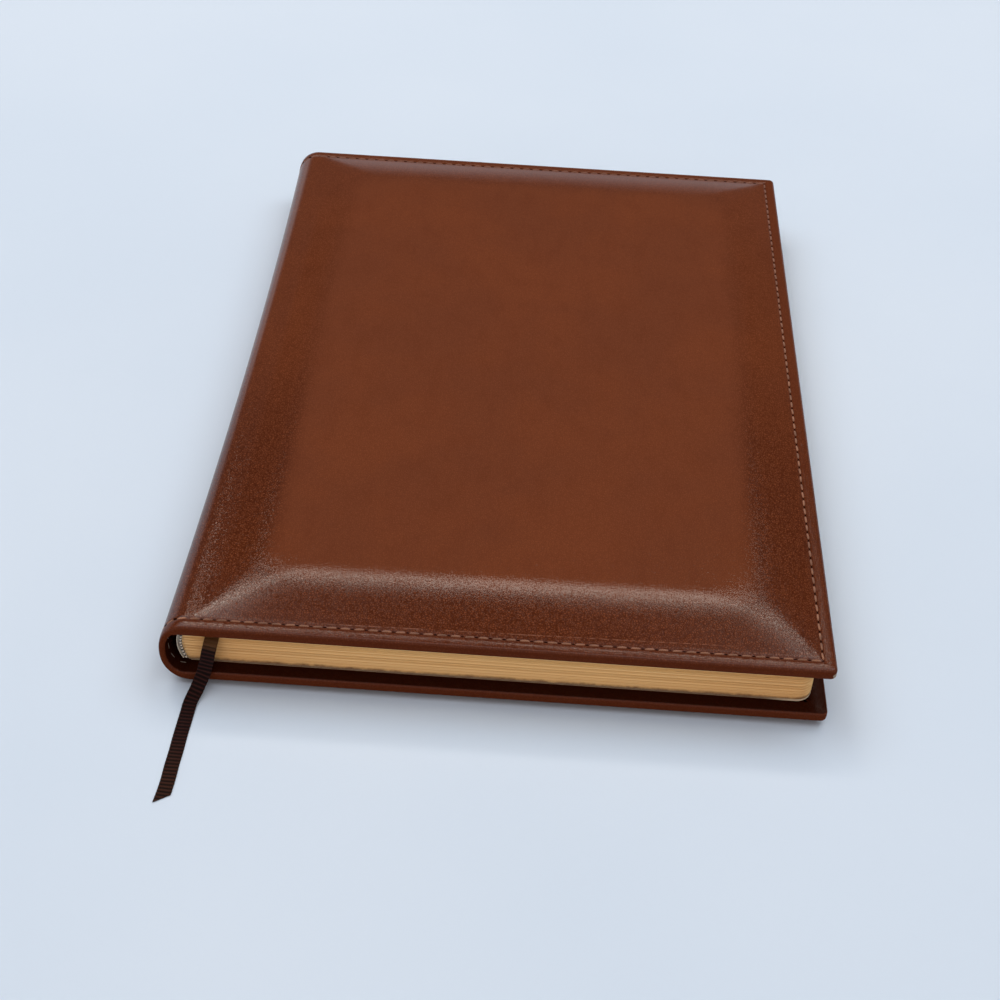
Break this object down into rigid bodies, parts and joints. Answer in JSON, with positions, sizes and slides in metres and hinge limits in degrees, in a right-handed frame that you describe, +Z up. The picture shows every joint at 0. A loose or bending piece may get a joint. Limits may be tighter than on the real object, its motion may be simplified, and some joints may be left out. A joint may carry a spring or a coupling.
{
  "type": "padded leather journal",
  "caption": "Closed case-bound journal with padded leather covers, a round leather spine, gilt page edges and a ribbon marker; covers and leaves are hinged.",
  "frame": {"origin": "on the table, under the middle of the closed book, ribbon marker's free end left out", "axes": "+X from the spine to the fore edge, +Y from the tail to the head, +Z up from the back cover to the front cover"},
  "size_m": [0.1512, 0.2507, 0.0205],
  "materials": {
    "leather": "fine grain, glossy",
    "card": "matte",
    "foam": "soft open foam",
    "endpaper": "matte, smooth",
    "gilt_paper": "gilt edges, satin",
    "mull": "open gauze",
    "headband_cotton": "woven cotton",
    "ribbon": "grosgrain weave"
  },
  "bodies": {
    "back_cover": {"back_leather": "leather", "back_board": "card", "back_foam_pad": "foam", "back_infill_card": "card", "back_pastedown": "endpaper"},
    "text_block": {"section_01": "gilt_paper", "section_02": "gilt_paper", "section_03": "gilt_paper", "section_04": "gilt_paper", "section_05": "gilt_paper", "section_06": "gilt_paper", "section_07": "gilt_paper", "section_08": "gilt_paper", "section_09": "gilt_paper", "section_10": "gilt_paper", "section_11_fold": "gilt_paper", "section_12_fold": "gilt_paper", "back_flyleaf": "endpaper", "front_endpaper_hinge": "endpaper", "spine_leather": "leather", "spine_liner": "card", "mull_cloth": "mull", "spine_lining": "endpaper", "headband_head": "headband_cotton", "headband_tail": "headband_cotton", "ribbon_marker": "ribbon", "ribbon_tail": "ribbon"},
    "front_cover": {"front_leather": "leather", "front_board": "card", "front_foam_pad": "foam", "front_infill_card": "card", "front_pastedown": "endpaper"},
    "front_flyleaf": {"front_flyleaf": "endpaper"},
    "upper_leaves": {"section_12_leaves": "gilt_paper"},
    "lower_leaves": {"section_11_leaves": "gilt_paper"}
  },
  "joints": [
    {"name": "back_joint", "type": "hinge", "parent": "back_cover", "child": "text_block", "pos_m": [-0.072, 0, 0.0038], "axis": [0, 1, 0], "range_deg": [-90, 0]},
    {"name": "front_joint", "type": "hinge", "parent": "text_block", "child": "front_cover", "pos_m": [-0.0677, 0, 0.01871], "axis": [0, -1, 0], "range_deg": [0, 185]},
    {"name": "flyleaf_turn", "type": "hinge", "parent": "text_block", "child": "front_flyleaf", "pos_m": [-0.0641, 0, 0.01536], "axis": [0, -1, 0], "range_deg": [0, 89]},
    {"name": "upper_leaves_turn", "type": "hinge", "parent": "text_block", "child": "upper_leaves", "pos_m": [-0.0637, 0, 0.01516], "axis": [0, -1, 0], "range_deg": [0, 63]},
    {"name": "lower_leaves_turn", "type": "hinge", "parent": "text_block", "child": "lower_leaves", "pos_m": [-0.0633, 0, 0.01433], "axis": [0, -1, 0], "range_deg": [0, 34]}
  ],
  "couplings": [
    {"joint": "flyleaf_turn", "follows": "front_joint", "ratio": 0.48},
    {"joint": "upper_leaves_turn", "follows": "front_joint", "ratio": 0.34},
    {"joint": "lower_leaves_turn", "follows": "front_joint", "ratio": 0.18}
  ]
}
